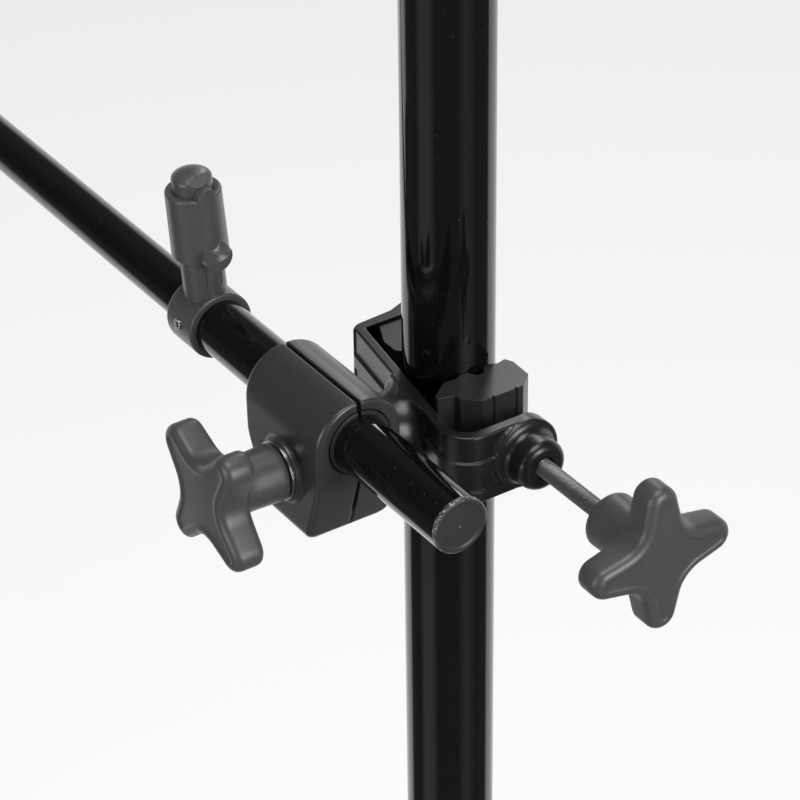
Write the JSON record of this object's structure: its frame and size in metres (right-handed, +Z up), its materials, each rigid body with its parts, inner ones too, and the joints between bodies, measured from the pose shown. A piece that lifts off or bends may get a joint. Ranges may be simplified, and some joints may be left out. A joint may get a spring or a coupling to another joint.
{
  "type": "studio stand with reflector boom",
  "caption": "Turtle-base studio stand with folding bent legs, telescoping risers, and a screw C-clamp whose swivel block holds a telescopic boom with spring reflector clips.",
  "frame": {"origin": "on the floor, under the column's axis", "axes": "+Z up along the column; the boom lies along X with its long side towards -X and its short end and the clamp's screw towards +X; the swivel knob points along -Y"},
  "size_m": [0.8702, 0.7708, 1.268],
  "materials": {
    "black_tube": "smooth gloss black coating",
    "bracket_black": "satin black coating",
    "black_casting": "fine-textured satin black coating on cast alloy",
    "charcoal_plastic": "fine matt moulded surface",
    "black_plastic": "satin moulded surface",
    "dark_steel": "dark zinc plating",
    "bright_steel": "bright zinc plating",
    "chrome_steel": "polished chrome plating",
    "brass": "machined brass",
    "nylon": "natural nylon",
    "rubber": "matt black rubber"
  },
  "bodies": {
    "base": {"hub_sleeve": "black_casting", "hub_plug": "black_casting", "hub_head": "black_casting", "leg_collar_high": "black_casting", "leg_high": "black_tube", "foot_high": "rubber", "hub_brake": "nylon"},
    "leg_mid_body": {"leg_collar_mid": "black_casting", "leg_mid": "black_tube", "foot_mid": "rubber"},
    "leg_low_body": {"leg_collar_low": "black_casting", "leg_low": "black_tube", "foot_low": "rubber"},
    "hub_knob_body": {"hub_knob": "charcoal_plastic", "hub_knob_screw": "bright_steel"},
    "column_body": {"column": "black_tube", "column_collar": "black_casting", "column_brake": "nylon"},
    "column_knob_body": {"column_knob": "charcoal_plastic", "column_knob_screw": "bright_steel"},
    "riser_1_body": {"riser_1": "black_tube", "riser_1_guide": "nylon", "riser_1_collar": "black_casting", "riser_1_brake": "nylon"},
    "riser_1_knob_body": {"riser_1_knob": "charcoal_plastic", "riser_1_knob_screw": "bright_steel"},
    "riser_2_body": {"riser_2": "black_tube", "riser_2_guide": "nylon", "stud": "chrome_steel"},
    "bracket_body": {"bracket": "bracket_black", "cradle": "black_plastic", "screw_bush": "bright_steel", "pivot_bolt": "bright_steel", "friction_washer": "nylon"},
    "jaw_body": {"jaw": "black_plastic", "jaw_clip": "bright_steel"},
    "clamp_knob_body": {"clamp_screw": "dark_steel", "clamp_knob": "charcoal_plastic", "clamp_knob_insert": "brass"},
    "block_body": {"block_inner": "charcoal_plastic", "block_outer": "charcoal_plastic", "knob_washer": "bright_steel"},
    "swivel_knob_body": {"swivel_knob": "charcoal_plastic", "swivel_knob_insert": "brass"},
    "liner_body": {"boom_liner": "black_plastic"},
    "boom_outer_body": {"boom_outer": "black_tube", "boom_cap": "black_plastic", "near_clip_post": "charcoal_plastic", "near_clip_screw": "bright_steel", "near_clip_spring": "bright_steel"},
    "boom_inner_body": {"boom_inner": "black_tube", "boom_guide": "nylon", "boom_far_cap": "black_plastic", "far_clip_post": "charcoal_plastic", "far_clip_screw": "bright_steel", "far_clip_spring": "bright_steel"},
    "near_sleeve_body": {"near_clip_sleeve": "charcoal_plastic"},
    "far_sleeve_body": {"far_clip_sleeve": "charcoal_plastic"}
  },
  "joints": [
    {"name": "leg_mid_fold", "type": "hinge", "parent": "base", "child": "leg_mid_body", "pos_m": [0, 0, 0.1223], "axis": [0, 0, 1], "range_deg": [-90, 0]},
    {"name": "leg_low_fold", "type": "hinge", "parent": "base", "child": "leg_low_body", "pos_m": [0, 0, 0.082], "axis": [0, 0, 1], "range_deg": [0, 90]},
    {"name": "hub_knob_turn", "type": "hinge", "parent": "base", "child": "hub_knob_body", "pos_m": [0.07, 0, 0.2066], "axis": [1, 0, 0], "range_deg": [0, 720]},
    {"name": "column_turn", "type": "hinge", "parent": "base", "child": "column_body", "pos_m": [0, 0, 0.15], "axis": [0, 0, 1], "continuous": true},
    {"name": "column_knob_turn", "type": "hinge", "parent": "column_body", "child": "column_knob_body", "pos_m": [0, 0.05, 1.032], "axis": [0, 1, 0], "range_deg": [0, 720]},
    {"name": "riser_1_slide", "type": "slide", "parent": "column_body", "child": "riser_1_body", "axis": [0, 0, 1], "range_m": [-0.054, 0.4]},
    {"name": "riser_1_knob_turn", "type": "hinge", "parent": "riser_1_body", "child": "riser_1_knob_body", "pos_m": [0, 0.05, 1.134], "axis": [0, 1, 0], "range_deg": [0, 720]},
    {"name": "riser_2_slide", "type": "slide", "parent": "riser_1_body", "child": "riser_2_body", "axis": [0, 0, 1], "range_m": [-0.044, 0.42]},
    {"name": "clamp_slide", "type": "slide", "parent": "column_body", "child": "bracket_body", "axis": [0, 0, 1], "range_m": [-0.25, 0.22]},
    {"name": "jaw_slide", "type": "slide", "parent": "bracket_body", "child": "jaw_body", "axis": [1, 0, 0], "range_m": [0, 0.0085]},
    {"name": "clamp_knob_turn", "type": "hinge", "parent": "jaw_body", "child": "clamp_knob_body", "pos_m": [0.08, 0, 0.74], "axis": [1, 0, 0], "range_deg": [0, 2460]},
    {"name": "boom_swivel", "type": "hinge", "parent": "bracket_body", "child": "block_body", "pos_m": [0.008, -0.068, 0.74], "axis": [0, 1, 0], "range_deg": [-30, 90]},
    {"name": "swivel_knob_turn", "type": "hinge", "parent": "bracket_body", "child": "swivel_knob_body", "pos_m": [0.008, -0.1, 0.74], "axis": [0, -1, 0], "range_deg": [0, 720]},
    {"name": "boom_roll", "type": "hinge", "parent": "block_body", "child": "liner_body", "pos_m": [0, -0.068, 0.76], "axis": [1, 0, 0], "range_deg": [-180, 180]},
    {"name": "boom_slide", "type": "slide", "parent": "liner_body", "child": "boom_outer_body", "axis": [1, 0, 0], "range_m": [-0.06, 0.038]},
    {"name": "boom_extend", "type": "slide", "parent": "boom_outer_body", "child": "boom_inner_body", "axis": [-1, 0, 0], "range_m": [-0.015, 0.11]},
    {"name": "near_sleeve_slide", "type": "slide", "parent": "boom_outer_body", "child": "near_sleeve_body", "axis": [0, 0.0698, -0.9976], "range_m": [0, 0.008], "stiffness_N_per_m": 500, "springref_m": -0.008, "deforming": ["near_clip_spring"]},
    {"name": "far_sleeve_slide", "type": "slide", "parent": "boom_inner_body", "child": "far_sleeve_body", "axis": [0, 0.0698, -0.9976], "range_m": [0, 0.008], "stiffness_N_per_m": 500, "springref_m": -0.008, "deforming": ["far_clip_spring"]}
  ],
  "couplings": [
    {"joint": "clamp_knob_turn", "follows": "jaw_slide", "rad_per_m": 5026.5}
  ]
}
